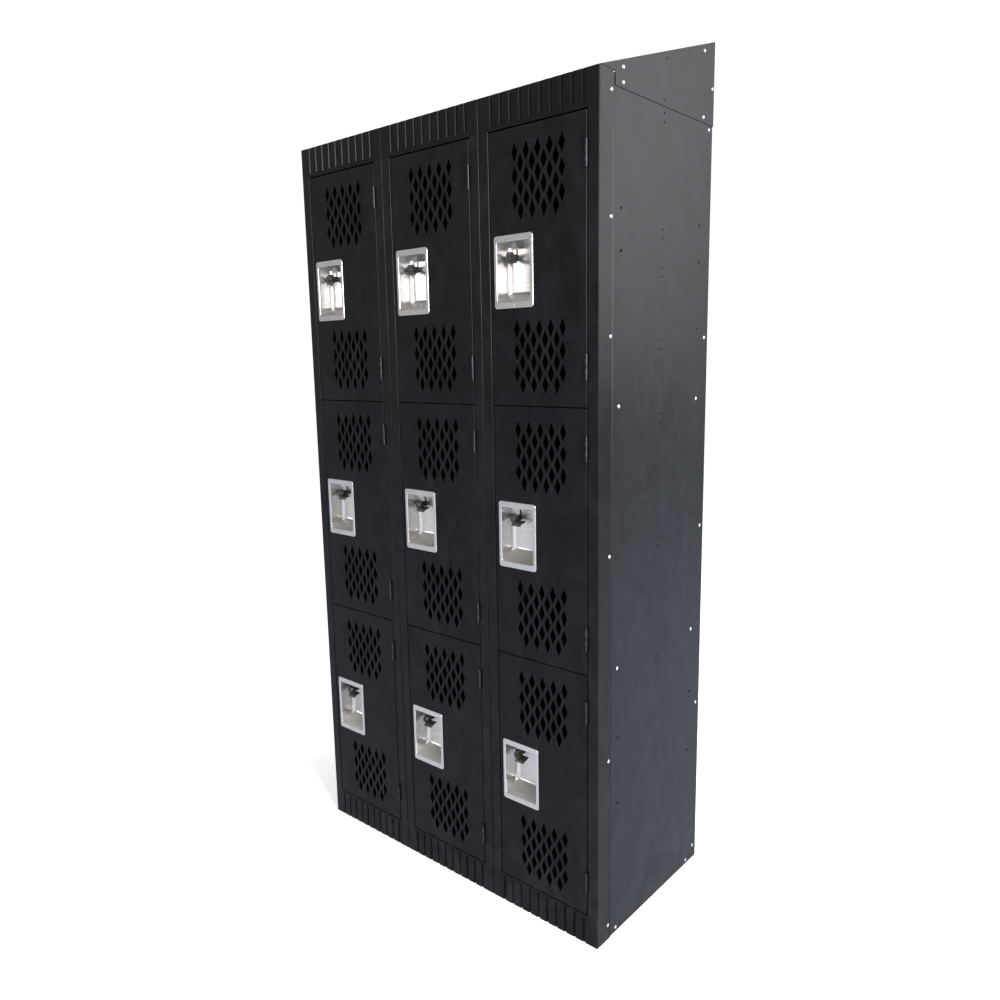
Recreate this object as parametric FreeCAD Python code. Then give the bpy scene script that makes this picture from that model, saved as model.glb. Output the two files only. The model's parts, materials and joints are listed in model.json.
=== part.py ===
import FreeCAD, Part
import math
import os

# Bank of nine steel box lockers: three columns side by side, three doors high, on a closed
# base and under a sloped hood.  Millimetres, +Z up, doors facing -Y.
# The bank is drawn with y = 0 on the face of its doors and is moved at export, so that the
# origin lies on the floor below the middle of the whole bank.

Vector = FreeCAD.Vector

# ---------------------------------------------------------------- driving dimensions
INCH = 25.4
COLUMN_NAMES = ["left", "middle", "right"]
TIER_NAMES = ["bottom", "middle", "top"]
COLUMN_PITCH = 12.0 * INCH
DEPTH = 18.0 * INCH
FRONT_HEIGHT = 72.0 * INCH
HOOD_RISE = 6.0 * INCH
BASE_HEIGHT = 2.75 * INCH
HEADER_HEIGHT = 2.75 * INCH

SHEET = 1.2                    # cabinet sheet
FRAME_SHEET = 1.5              # front frame, hood ends and doors
BEND = 1.0                     # inside radius of a fold
TOUCH = 0.1                    # gap left between sheets that are riveted together
CUT_SPARE = 1.0                # how far a cutting shape runs past the metal it cuts

UPRIGHT_FACE = 26.6            # width of a front upright, from the column line
STRIP_DEPTH = 47.0             # how far the front frame wraps back along the side
STOP_Y = 17.8                  # front of the lip that the door shuts against
STOP_WIDTH = 9.0
PARTITION_RECESS = 8.0         # front edge of a partition, set back in its seam
BEAD_START = 48.3              # upright bead in the side sheet, just behind the front frame
BEAD_HEIGHT = 1.4
BEAD_HOLLOW = 0.7
BEAD_CREST = (1.8, 2.8)        # from the start of the bead
BEAD_WIDTH = 5.2
BEAD_ROUND = 0.8

GROOVE_COUNT = 10              # vertical grooves pressed in header and base
GROOVE_PITCH = 25.8
GROOVE_HALF_MOUTH = 3.4
GROOVE_HALF_FLOOR = 1.6
GROOVE_DEPTH = 3.5
GROOVE_BEND = 0.4
HEADER_PLAIN = 10.0            # smooth band below the header's grooves
BASE_PLAIN = 5.0               # smooth band above the base's grooves
FRAME_FLANGE = 25.0            # top flange of the header and floor flange of the base
RAIL_HALF_HEIGHT = 12.0        # channel behind the meeting edges of two doors
RAIL_DEPTH = 12.0

DOOR_THICK = 16.0
LATCH_GAP = 2.4                # between the door and its latch-side upright
HINGE_GAP = 2.0                # between the door and its hinge-side upright
TIER_GAP = 2.6                 # between one door and the next
HEADER_GAP = 3.4               # above the top doors
SILL_GAP = 3.0                 # below the bottom doors
DOOR_LIP = 5.5                 # return lip behind the door's side flanges

VENT_COLUMNS = 9               # long and short columns take turns across a patch
VENT_ROWS = 3
VENT_COLUMN_STEP = 14.9
VENT_ROW_STEP = 46.0
VENT_HALF_WIDTH = 8.2
VENT_HALF_HEIGHT = 20.0
VENT_SIDE_ROUND = 2.0
VENT_TIP_ROUND = 0.6
VENT_CENTRE_X = 157.5          # from the column line
VENT_OFFSET_Z = 176.0          # from the middle of the cup, up and down

CUP_CENTRE_X = 92.0            # from the column line
CUP_DROP = 3.0                 # middle of the cup below the middle of the door
CUP_WIDTH = 104.0
CUP_HEIGHT = 149.0
CUP_CORNER = 6.0
CUP_SHEET = 1.0
CUP_FLANGE = 2.0
CUP_EDGE = 1.5                 # rounding of the flange's rim and of the pocket's mouth
CUP_RIVET_DROP = 68.0          # rivet in the flange's lower edge, below the middle of the cup
CUP_RIVET_RADIUS = 1.6
CUP_RIVET_HEAD_RADIUS = 2.8
CUP_RIVET_HEAD_HEIGHT = 1.0
CUP_RIVET_LENGTH = 5.0
CUP_CLEARANCE = 0.5            # all round the pocket in its hole in the door
POCKET_WIDTH = 89.0
POCKET_HALF_HEIGHT = 61.0
POCKET_DEPTH = 42.0
POCKET_FLOOR_RISE = 20.0       # the pocket's floor slopes up towards the back
POCKET_ROOF_FALL = 8.0         # and its roof slopes down
POCKET_BACK_CORNER = 12.0
POCKET_FLOOR_CORNER = 7.0
POCKET_ROOF_CORNER = 5.0
POCKET_MOUTH_CORNER = 4.0

HINGE_HEIGHT = 2.0 * INCH
HINGE_FROM_LINE = 56.1         # from the tier's line to the near end of a hinge
KNUCKLES = 5
KNUCKLE_RADIUS = 2.8
KNUCKLE_GAP = 0.15
PIN_RADIUS = 1.6
PIN_CLEARANCE = 0.05
LEAF_THICK = 0.9
LEAF_DEPTH = 12.0
LEAF_ROOT = 0.5                # metal between the pin's bore and the root of a leaf
AXIS_FORWARD = 3.1             # hinge axis in front of the door's face

LATCH_TRAVEL = 10.0
SHACKLE_Y = 22.0               # padlock hole, behind the door's face
SHACKLE_Z = 33.0               # padlock hole, above the middle of the cup
EYE_RADIUS = 10.5
SHACKLE_HOLE_RADIUS = 5.0
EYE_THICK = 3.0
STAPLE_X = 62.0                # from the column line, as the other latch positions
EAR_X = 66.0
FINGER_END_X = 90.0
NECK_HALF_HEIGHT = 6.0
SLOT_CLEARANCE = 1.0           # all round the lift's neck where it passes the back of the cup
# Section of the finger lift, as (y, height above the padlock hole), and its corner radii.
FINGER_SECTION = ((31.0, -7.5), (31.0, -4.5), (13.0, -9.0), (10.0, -14.0), (12.5, -15.5), (15.0, -11.8))
FINGER_RADII = [0.8, 0.8, 1.5, 0.8, 0.8, 1.0]
LOCK_BAR_X = (36.5, 44.5)
LOCK_BAR_Y = (5.0, 12.0)
LOCK_BAR_HALF_LENGTH = 190.0
LATCH_ARM_X = 42.0
LATCH_ARM_THICK = 2.5
LATCH_ARM_FRONT_Y = 7.0
LATCH_PLATE_Y = (45.0, 47.5)
LATCH_PLATE_HALF_HEIGHT = 14.0
TONGUE_X = (38.2, 41.2)
TONGUE_END_Y = 25.0
TONGUE_HALF_HEIGHT = 8.0
TONGUE_OFFSET_Z = 150.0
GUIDE_OFFSET_Z = 110.0
GUIDE_CLEARANCE = 0.5
GUIDE_SHEET = 1.0
GUIDE_HALF_HEIGHT = 9.0

STRIKE_X = (27.0, 35.6)
STRIKE_DEPTH = 9.0
STRIKE_WALL = 2.0
STRIKE_HALF_HEIGHT = 12.0
STRIKE_END = 3.0
SILENCER_RADIUS = 4.0
SILENCER_OFFSET_Z = 215.0
SILENCER_CLEARANCE = 0.2

SHELF_FLANGE = 18.0
PAN_FRONT_Y = 20.2             # front edge of shelves and pans
PAN_STEP_Y = 48.0              # behind here a pan is as wide as the column
BACK_FLANGE = 25.0
BACK_BEND = 0.3
TOP_PAN_Z = 1803.5
TOP_PAN_FLANGE = 22.0
HOOD_SEAM_Z = 1803.5
HOOD_NOTCH_DEPTH = 54.0
HOOD_START_Y = 4.2
HOOD_FLANGE = 22.0
HOOD_FLANGE_Y = (68.0, 438.0)
HOOD_END_GAP = 1.0             # between the hood's end and the header below it
HOOD_END_TIP = 0.5             # height of the blunt front tip of the hood's end
HOOD_BACK_FLANGE = 17.0

HOOK_WIDTH = 16.0
HOOK_THICK = 2.5
HOOK_Y = 240.0
HOOK_DROP = 52.0
HOOK_REACH = 28.0
HOOK_TIP = 16.0
HOOK_FOOT = 16.0
HOOK_BEND = 3.0

RIVET_HEAD_RADIUS = 4.0
RIVET_HEAD_HEIGHT = 1.6
RIVET_SHANK_RADIUS = 2.3
RIVET_HOLE_RADIUS = 2.4
RIVET_SHANK = 5.5
BOLT_HOLE_RADIUS = 3.0
FIXING_HOLE_RADIUS = 2.2

# ---------------------------------------------------------------- worked-out positions
WIDTH = COLUMN_PITCH * len(COLUMN_NAMES)
HALF_WIDTH = WIDTH / 2.0
REAR_HEIGHT = FRONT_HEIGHT + HOOD_RISE
HEADER_BOTTOM = FRONT_HEIGHT - HEADER_HEIGHT
TIER_PITCH = (HEADER_BOTTOM - BASE_HEIGHT) / len(TIER_NAMES)
SIDE_OUTER = HALF_WIDTH - FRAME_SHEET
SIDE_INNER = SIDE_OUTER - SHEET
BACK_INNER = DEPTH - SHEET
HINGE_REACH = AXIS_FORWARD + KNUCKLE_RADIUS
FACE_Y = -(DEPTH - HINGE_REACH) / 2.0

LAST_COLUMN = len(COLUMN_NAMES) - 1
LAST_TIER = len(TIER_NAMES) - 1
DOOR_X = (UPRIGHT_FACE + LATCH_GAP, COLUMN_PITCH - UPRIGHT_FACE - HINGE_GAP)
HINGE_X = DOOR_X[1] + HINGE_GAP / 2.0
PIN_BORE = PIN_RADIUS + PIN_CLEARANCE

# Rivets along a side, as (y, z): down the front strip, down the rear edge, at each shelf,
# at the floor pan and at the corners of the hood's end.
STRIP_RIVET_Y = 42.0
REAR_RIVET_Y = 440.0
PAN_RIVET_Y = (76.0, 406.0)
EDGE_RIVET_Z = (35.0, 431.0, 887.0, 1336.0, 1564.0, 1794.0)
FLOOR_PAN_RIVET_Z = 10.0
HOOD_RIVET_Y = (83.0, 410.0)
HOOD_LOWER_RIVET_Z = 1815.0
HOOD_UPPER_RIVET_DROP = 13.8
HOOD_REAR_RIVET = (449.0, 1881.5)

# Empty holes in a side: four bolting holes high up and four low down, for joining one bank
# to the next, and pairs at mid depth for hooks and rails.
BOLT_HOLE_Y = (79.0, 404.0)
UPPER_BOLT_Z = (1503.0, 1584.0)
LOWER_BOLT_Z = (316.0, 472.0)
FIXING_Y = 241.0
FIXING_PAIR_STEP = 18.0
FIXING_PAIR_Z = (604.5, 882.0, 1162.0, 1319.0, 1471.0, 1550.0, 1782.0)
LONE_FIXINGS = ((403.0, 917.5), (403.0, 1356.5))
HOOD_FIXINGS = ((FIXING_Y, 1815.0), (246.0, 1896.0))
SIDE_TOP_Z = 1826.0            # top edge of the side sheets, hidden behind the hood's skirt
PARTITION_TOP_Z = 1823.5
HOOD_DROP = SHEET * math.hypot(1.0, HOOD_RISE / DEPTH)     # the sloped sheet, measured upright


def column_line(column):
    """X of the line on the left of a column."""
    return -HALF_WIDTH + COLUMN_PITCH * column


def tier_line(tier):
    """Height of the line between a tier and what is below it."""
    return BASE_HEIGHT + TIER_PITCH * tier


def cup_middle(tier):
    return tier_line(tier) + TIER_PITCH / 2.0 - CUP_DROP


def hood_top(y):
    """Height of the hood's upper surface."""
    return FRONT_HEIGHT + HOOD_RISE * y / DEPTH


def frame_edges(column):
    """Left and right of a column's front frame: partitions stand between two frames."""
    left = column_line(column)
    right = column_line(column + 1)
    if column > 0:
        left += SHEET / 2.0
    if column < LAST_COLUMN:
        right -= SHEET / 2.0
    return left, right


def inner_edges(column):
    """Inner faces of the sheets on the left and right of a column."""
    left = -SIDE_INNER if column == 0 else column_line(column) + SHEET / 2.0
    right = SIDE_INNER if column == LAST_COLUMN else column_line(column + 1) - SHEET / 2.0
    return left, right


# ---------------------------------------------------------------- drawing helpers
PLANES = {
    "xy": (lambda a, b, c: Vector(a, b, c), Vector(0, 0, 1)),
    "xz": (lambda a, b, c: Vector(a, c, b), Vector(0, 1, 0)),
    "yz": (lambda a, b, c: Vector(c, a, b), Vector(1, 0, 0)),
}


def box(x_range, y_range, z_range):
    sizes = [high - low for low, high in (x_range, y_range, z_range)]
    return Part.makeBox(*sizes, Vector(x_range[0], y_range[0], z_range[0]))


def rod(start, axis, radius, length):
    return Part.makeCylinder(radius, length, Vector(*start), Vector(*axis))


def fuse(shapes):
    if len(shapes) == 1:
        return shapes[0]
    return shapes[0].multiFuse(shapes[1:]).removeSplitter()


def corner_arc(before, corner, after, radius):
    """Start, middle and end of the arc that rounds one corner."""
    to_before = (before - corner).normalize()
    to_after = (after - corner).normalize()
    half_angle = to_before.getAngle(to_after) / 2.0
    reach = radius / math.tan(half_angle)
    inward = (to_before + to_after).normalize()
    centre = corner + inward * (radius / math.sin(half_angle))
    return corner + to_before * reach, centre - inward * radius, corner + to_after * reach


def outline(points, radii, plane, level):
    """Closed wire on a plane, each corner rounded by its own radius."""
    place = PLANES[plane][0]
    corners = [place(a, b, level) for a, b in points]
    count = len(corners)
    bends = []
    for index, corner in enumerate(corners):
        if radii[index] > 0:
            following = corners[(index + 1) % count]
            bends.append(corner_arc(corners[index - 1], corner, following, radii[index]))
        else:
            bends.append((corner, None, corner))
    edges = []
    for index, (start, middle, end) in enumerate(bends):
        if middle is not None:
            edges.append(Part.Arc(start, middle, end).toShape())
        following = bends[(index + 1) % count][0]
        if (following - end).Length > 1e-6:
            edges.append(Part.LineSegment(end, following).toShape())
    return Part.Wire(edges)


def prism(points, radii, plane, level, length):
    """Solid with the outline for its section, from level along the plane's normal."""
    if not isinstance(radii, list):
        radii = [radii] * len(points)
    face = Part.Face(outline(points, radii, plane, level))
    return face.extrude(PLANES[plane][1] * length)


def cross(first, second):
    return first[0] * second[1] - first[1] * second[0]


def folded_outline(path, thickness, bend):
    """Points and radii of a folded sheet whose outer line is path, with metal on its left."""
    steps = []
    for start, end in zip(path, path[1:]):
        length = math.hypot(end[0] - start[0], end[1] - start[1])
        steps.append(((end[0] - start[0]) / length, (end[1] - start[1]) / length))
    near_radii = [0.0]
    far_radii = [0.0]
    far_side = [offset_end(path[0], steps[0], thickness)]
    for index in range(1, len(path) - 1):
        before = steps[index - 1]
        after = steps[index]
        normal = (-before[1] - after[1], before[0] + after[0])
        scale = thickness / (1.0 + before[0] * after[0] + before[1] * after[1])
        corner = path[index]
        far_side.append((corner[0] + normal[0] * scale, corner[1] + normal[1] * scale))
        towards_metal = cross(before, after) > 0
        near_radii.append(bend + thickness if towards_metal else bend)
        far_radii.append(bend if towards_metal else bend + thickness)
    far_side.append(offset_end(path[-1], steps[-1], thickness))
    near_radii.append(0.0)
    far_radii.append(0.0)
    return list(path) + far_side[::-1], near_radii + far_radii[::-1]


def folded_sheet(path, thickness, plane, level, length, bend=BEND):
    points, radii = folded_outline(path, thickness, bend)
    return prism(points, radii, plane, level, length)


def rectangle(a_range, b_range):
    (a_low, a_high), (b_low, b_high) = a_range, b_range
    return [(a_low, b_low), (a_high, b_low), (a_high, b_high), (a_low, b_high)]


def offset_end(point, step, distance):
    """The point moved square to a step of the path, towards its left."""
    return point[0] - step[1] * distance, point[1] + step[0] * distance


# ---------------------------------------------------------------- side rivets and holes
def side_rivet_spots():
    spots = [(STRIP_RIVET_Y, z) for z in EDGE_RIVET_Z]
    spots += [(REAR_RIVET_Y, z) for z in EDGE_RIVET_Z if z != EDGE_RIVET_Z[-2]]
    levels = [tier_line(1), tier_line(2), FLOOR_PAN_RIVET_Z, HOOD_LOWER_RIVET_Z]
    for y in PAN_RIVET_Y:
        spots += [(y, z) for z in levels[:3]]
    for y in HOOD_RIVET_Y:
        spots += [(y, HOOD_LOWER_RIVET_Z), (y, hood_top(y) - HOOD_UPPER_RIVET_DROP)]
    spots.append(HOOD_REAR_RIVET)
    return spots


def on_raised_sheet(y, z):
    """Whether a rivet's head lies on the frame strip or the hood's end, not on the side sheet."""
    return y < STRIP_DEPTH or z > HOOD_SEAM_Z


def rivet_holes(side):
    """Clearance holes for a side's rivets, to be cut from every sheet they pass through."""
    holes = []
    start_x = side * (HALF_WIDTH + CUT_SPARE)
    for y, z in side_rivet_spots():
        holes.append(rod((start_x, y, z), (-side, 0, 0), RIVET_HOLE_RADIUS, RIVET_SHANK + 6.0 * CUT_SPARE))
    return Part.makeCompound(holes)


def domed_rivet(seat, outward, head_radius, head_height, shank_radius, shank_length):
    """Rivet with its head's flat on the seat, the head on the outward side."""
    seat = Vector(*seat)
    outward = Vector(*outward)
    dome_radius = (head_radius ** 2 + head_height ** 2) / (2.0 * head_height)
    dome = Part.makeSphere(dome_radius, seat - outward * (dome_radius - head_height))
    cap = dome.common(rod(seat, outward, dome_radius, head_height + CUT_SPARE))
    return cap.fuse(rod(seat, -outward, shank_radius, shank_length)).removeSplitter()


def side_rivets():
    rivets = []
    head = (RIVET_HEAD_RADIUS, RIVET_HEAD_HEIGHT)
    for side in (-1, 1):
        for y, z in side_rivet_spots():
            seat = side * (HALF_WIDTH if on_raised_sheet(y, z) else SIDE_OUTER)
            rivets.append(domed_rivet((seat, y, z), (side, 0, 0), *head, RIVET_SHANK_RADIUS, RIVET_SHANK))
    return rivets


def empty_side_holes(side):
    holes = []
    outer = side * (HALF_WIDTH + CUT_SPARE)
    length = FRAME_SHEET + SHEET + 2.0 * CUT_SPARE
    for y in BOLT_HOLE_Y:
        for z in UPPER_BOLT_Z + LOWER_BOLT_Z:
            holes.append(rod((outer, y, z), (-side, 0, 0), BOLT_HOLE_RADIUS, length))
    fixings = list(LONE_FIXINGS) + list(HOOD_FIXINGS)
    for middle in FIXING_PAIR_Z:
        fixings += [(FIXING_Y, middle + end * FIXING_PAIR_STEP / 2.0) for end in (-1, 1)]
    for y, z in fixings:
        holes.append(rod((outer, y, z), (-side, 0, 0), FIXING_HOLE_RADIUS, length))
    return Part.makeCompound(holes)


def with_rivet_holes(shape, column):
    """A frame or pan of an outer column, drilled for the rivets of its side."""
    if column == 0:
        shape = shape.cut(rivet_holes(-1))
    if column == LAST_COLUMN:
        shape = shape.cut(rivet_holes(1))
    return shape


# ---------------------------------------------------------------- cabinet
def bead_ridge(side, base, height, inset):
    """Ridge of the upright bead, standing out from base; inset makes its hollow narrower."""
    front = BEAD_START + inset
    rear = BEAD_START + BEAD_WIDTH - inset
    crest_front = BEAD_START + BEAD_CREST[0]
    crest_rear = BEAD_START + BEAD_CREST[1]
    points = [(base, front), (base + height, crest_front), (base + height, crest_rear), (base, rear)]
    radii = [0.0, BEAD_ROUND, BEAD_ROUND, 0.0]
    return prism([(side * x, y) for x, y in points], radii, "xy", 0.0, HOOD_SEAM_Z - TOUCH)


def side_panel(side):
    """Side sheet, flat but for a bead pressed outwards just behind the front frame."""
    x_range = sorted((side * SIDE_INNER, side * SIDE_OUTER))
    flat = box(x_range, (PARTITION_RECESS, DEPTH - SHEET - TOUCH), (0.0, SIDE_TOP_Z))
    sheet = fuse([flat, bead_ridge(side, SIDE_OUTER, BEAD_HEIGHT, 0.0)])
    sheet = sheet.cut(bead_ridge(side, SIDE_INNER, BEAD_HOLLOW, BEAD_HOLLOW))
    return sheet.cut(rivet_holes(side)).cut(empty_side_holes(side))


def partition(line):
    x = column_line(line)
    x_range = (x - SHEET / 2.0, x + SHEET / 2.0)
    return box(x_range, (PARTITION_RECESS, BACK_INNER - TOUCH), (0.0, PARTITION_TOP_Z))


def upright(column, on_latch_side):
    """Folded front upright: side strip, face, jamb and the lip that stops the door."""
    left, right = frame_edges(column)
    jamb = column_line(column) + UPRIGHT_FACE
    lip = jamb + STOP_WIDTH
    path = [(left, STRIP_DEPTH), (left, 0.0), (jamb, 0.0), (jamb, STOP_Y), (lip, STOP_Y)]
    if not on_latch_side:
        jamb = column_line(column + 1) - UPRIGHT_FACE
        lip = jamb - STOP_WIDTH
        path = [(lip, STOP_Y), (jamb, STOP_Y), (jamb, 0.0), (right, 0.0), (right, STRIP_DEPTH)]
    shape = folded_sheet(path, FRAME_SHEET, "xy", BASE_HEIGHT, HEADER_BOTTOM - BASE_HEIGHT)
    return with_rivet_holes(shape, column)


def front_uprights():
    return [upright(column, latch) for column in range(len(COLUMN_NAMES)) for latch in (True, False)]


def groove_centres(column):
    middle = column_line(column) + COLUMN_PITCH / 2.0
    first = middle - GROOVE_PITCH * (GROOVE_COUNT - 1) / 2.0
    return [first + GROOVE_PITCH * index for index in range(GROOVE_COUNT)]


def groove_section(x):
    """Line of a groove's walls and floor, from its left lip to its right one."""
    section = [(x - GROOVE_HALF_MOUTH, 0.0), (x - GROOVE_HALF_FLOOR, GROOVE_DEPTH)]
    return section + [(x + GROOVE_HALF_FLOOR, GROOVE_DEPTH), (x + GROOVE_HALF_MOUTH, 0.0)]


def grooved_front(column, z_range, plain_range):
    """Front and side strips of a header or base, grooved except for a plain band."""
    z_low = z_range[0]
    height = z_range[1] - z_low
    left, right = frame_edges(column)
    plain_path = [(left, STRIP_DEPTH), (left, 0.0), (right, 0.0), (right, STRIP_DEPTH)]
    plain = folded_sheet(plain_path, FRAME_SHEET, "xy", plain_range[0], plain_range[1] - plain_range[0])
    points, radii = folded_outline(plain_path, FRAME_SHEET, BEND)
    front = prism(points, radii, "xy", z_low, height)
    end_z = (plain_range[1] - FRAME_SHEET, plain_range[1])
    if plain_range[0] > z_low:
        end_z = (plain_range[0], plain_range[0] + FRAME_SHEET)
    channels = []
    backs = []
    ends = []
    for x in groove_centres(column):
        left_lip = x - GROOVE_HALF_MOUTH
        right_lip = x + GROOVE_HALF_MOUTH
        backs.append(folded_sheet(groove_section(x), FRAME_SHEET, "xy", z_low, height, GROOVE_BEND))
        opened = [(left_lip, -CUT_SPARE)] + groove_section(x) + [(right_lip, -CUT_SPARE)]
        channels.append(prism(opened, 0.0, "xy", z_low, height))
        ends.append(box((left_lip, right_lip), (FRAME_SHEET / 2.0, GROOVE_DEPTH + FRAME_SHEET), end_z))
    grooved = front.cut(Part.makeCompound(channels)).multiFuse(backs)
    return fuse([grooved, plain] + ends)


def opening_edges(column):
    return column_line(column) + UPRIGHT_FACE, column_line(column + 1) - UPRIGHT_FACE


def groove_mouths(column):
    """The grooves' own space, kept open through the flanges at their ends."""
    mouths = [prism(groove_section(x), 0.0, "xy", 0.0, FRONT_HEIGHT) for x in groove_centres(column)]
    return Part.makeCompound(mouths)


def framed_front(column, front, sill_z, lip_z, flange_z):
    """A grooved front with its sill, the lip the doors shut against and its far flange."""
    left, right = opening_edges(column)
    stop_back = STOP_Y + FRAME_SHEET
    sill = box((left, right), (FRAME_SHEET / 2.0, stop_back), sill_z)
    lip = box((left + STOP_WIDTH, right - STOP_WIDTH), (STOP_Y, stop_back), lip_z)
    flange = box((left, right), (FRAME_SHEET / 2.0, FRAME_FLANGE), flange_z)
    return with_rivet_holes(fuse([front, sill, lip, flange.cut(groove_mouths(column))]), column)


def header(column):
    groove_low = HEADER_BOTTOM + HEADER_PLAIN
    front = grooved_front(column, (groove_low, FRONT_HEIGHT), (HEADER_BOTTOM, groove_low))
    sill_z = (HEADER_BOTTOM, HEADER_BOTTOM + FRAME_SHEET)
    lip_z = (HEADER_BOTTOM - STOP_WIDTH, sill_z[1])
    return framed_front(column, front, sill_z, lip_z, (FRONT_HEIGHT - FRAME_SHEET, FRONT_HEIGHT))


def base_front(column):
    groove_high = BASE_HEIGHT - BASE_PLAIN
    front = grooved_front(column, (0.0, groove_high), (groove_high, BASE_HEIGHT))
    sill_z = (BASE_HEIGHT - FRAME_SHEET, BASE_HEIGHT)
    lip_z = (sill_z[0], BASE_HEIGHT + STOP_WIDTH)
    return framed_front(column, front, sill_z, lip_z, (0.0, FRAME_SHEET))


def cross_rail(column, tier):
    """Channel behind the meeting edges of two doors."""
    low = tier_line(tier) - RAIL_HALF_HEIGHT
    high = tier_line(tier) + RAIL_HALF_HEIGHT
    rail_back = STOP_Y + RAIL_DEPTH
    path = [(rail_back, high), (STOP_Y, high), (STOP_Y, low), (rail_back, low)]
    left, right = opening_edges(column)
    length = right - left - 2.0 * STOP_WIDTH
    return folded_sheet(path, FRAME_SHEET, "yz", left + STOP_WIDTH, length)


def cross_rails():
    return [cross_rail(column, tier) for column in range(len(COLUMN_NAMES)) for tier in (1, 2)]


def pan_edges(column):
    """Left and right of a shelf or pan: at its front between the frame's strips, and behind."""
    left, right = inner_edges(column)
    frame_left, frame_right = frame_edges(column)
    front_left = max(left, frame_left + FRAME_SHEET)
    front_right = min(right, frame_right - FRAME_SHEET)
    return (front_left + TOUCH, front_right - TOUCH), (left + TOUCH, right - TOUCH)


def pan_plate(column, z_top):
    """Flat of a shelf or pan, narrowed at the front between the frame's strips."""
    (front_left, front_right), (left, right) = pan_edges(column)
    back_step = DEPTH - BACK_FLANGE - TOUCH
    back = BACK_INNER - TOUCH
    inset = SHEET + TOUCH
    points = [(front_left, PAN_FRONT_Y), (front_right, PAN_FRONT_Y), (front_right, PAN_STEP_Y)]
    if front_right < right:
        points.append((right, PAN_STEP_Y))
    points += [(right, back_step), (right - inset, back_step), (right - inset, back)]
    points += [(left + inset, back), (left + inset, back_step), (left, back_step)]
    if front_left > left:
        points.append((left, PAN_STEP_Y))
    points.append((front_left, PAN_STEP_Y))
    return prism(points, 0.0, "xy", z_top - SHEET, SHEET)


def pan(column, z_top, side_z, front_z):
    """Shelf, floor or ceiling of a column, with flanges on its sides, front and back."""
    front_x, (left, right) = pan_edges(column)
    side_y = (PAN_STEP_Y, DEPTH - BACK_FLANGE - TOUCH)
    rear_x = (left + SHEET + TOUCH, right - SHEET - TOUCH)
    rear_y = (BACK_INNER - TOUCH - SHEET, BACK_INNER - TOUCH)
    flanges = [box((left, left + SHEET), side_y, side_z), box((right - SHEET, right), side_y, side_z)]
    flanges.append(box(front_x, (PAN_FRONT_Y, PAN_FRONT_Y + SHEET), front_z))
    flanges.append(box(rear_x, rear_y, front_z))
    return with_rivet_holes(fuse([pan_plate(column, z_top)] + flanges), column)


def shelves(tier):
    top = tier_line(tier) + SHELF_FLANGE / 2.0
    flange = (top - SHELF_FLANGE, top)
    return [pan(column, top, flange, flange) for column in range(len(COLUMN_NAMES))]


def floor_pans():
    """Compartment floors, on deep side flanges that reach down to the base."""
    flange = (TOUCH, BASE_HEIGHT)
    front = (BASE_HEIGHT - SHELF_FLANGE, BASE_HEIGHT)
    return [pan(column, BASE_HEIGHT, flange, front) for column in range(len(COLUMN_NAMES))]


def top_pans():
    flange = (TOP_PAN_Z - SHEET, TOP_PAN_Z + TOP_PAN_FLANGE)
    return [pan(column, TOP_PAN_Z, flange, flange) for column in range(len(COLUMN_NAMES))]


def back_panel(column):
    left, right = inner_edges(column)
    front_y = DEPTH - BACK_FLANGE
    path = [(right, front_y), (right, DEPTH), (left, DEPTH), (left, front_y)]
    shape = folded_sheet(path, SHEET, "xy", 0.0, HOOD_SEAM_Z + TOP_PAN_FLANGE, BACK_BEND)
    return with_rivet_holes(shape, column)


def back_panels():
    return [back_panel(column) for column in range(len(COLUMN_NAMES))]


# ---------------------------------------------------------------- sloped hood
def hood_end(side):
    """End of the hood: a wedge over the frame's strip, and a skirt down to the side's seam."""
    under_top = HOOD_DROP + TOUCH
    gap_z = FRONT_HEIGHT + HOOD_END_GAP
    start_y = (under_top + HOOD_END_GAP + HOOD_END_TIP) * DEPTH / HOOD_RISE
    points = [(start_y, gap_z), (HOOD_NOTCH_DEPTH, gap_z), (HOOD_NOTCH_DEPTH, HOOD_SEAM_Z)]
    points += [(DEPTH, HOOD_SEAM_Z), (DEPTH, hood_top(DEPTH) - under_top)]
    points.append((start_y, hood_top(start_y) - under_top))
    level = SIDE_OUTER + TOUCH if side > 0 else -HALF_WIDTH
    skirt = prism(points, 0.0, "yz", level, FRAME_SHEET - TOUCH)
    return skirt.cut(rivet_holes(side)).cut(empty_side_holes(side))


def hood_sheet():
    """Sloped top with side flanges inside the hood's ends."""
    slope = [(HOOD_START_Y, hood_top(HOOD_START_Y)), (HOOD_START_Y, hood_top(HOOD_START_Y) - HOOD_DROP)]
    slope += [(DEPTH, hood_top(DEPTH) - HOOD_DROP), (DEPTH, hood_top(DEPTH))]
    parts = [prism(slope, 0.0, "yz", -HALF_WIDTH, WIDTH)]
    start_y, end_y = HOOD_FLANGE_Y
    root = HOOD_DROP / 2.0
    flange = [(start_y, hood_top(start_y) - root), (start_y, hood_top(start_y) - HOOD_FLANGE)]
    flange += [(end_y, hood_top(end_y) - HOOD_FLANGE), (end_y, hood_top(end_y) - root)]
    for level in (SIDE_INNER, -SIDE_OUTER):
        parts.append(prism(flange, 0.0, "yz", level, SHEET))
    return fuse(parts).cut(rivet_holes(-1)).cut(rivet_holes(1))


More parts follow.
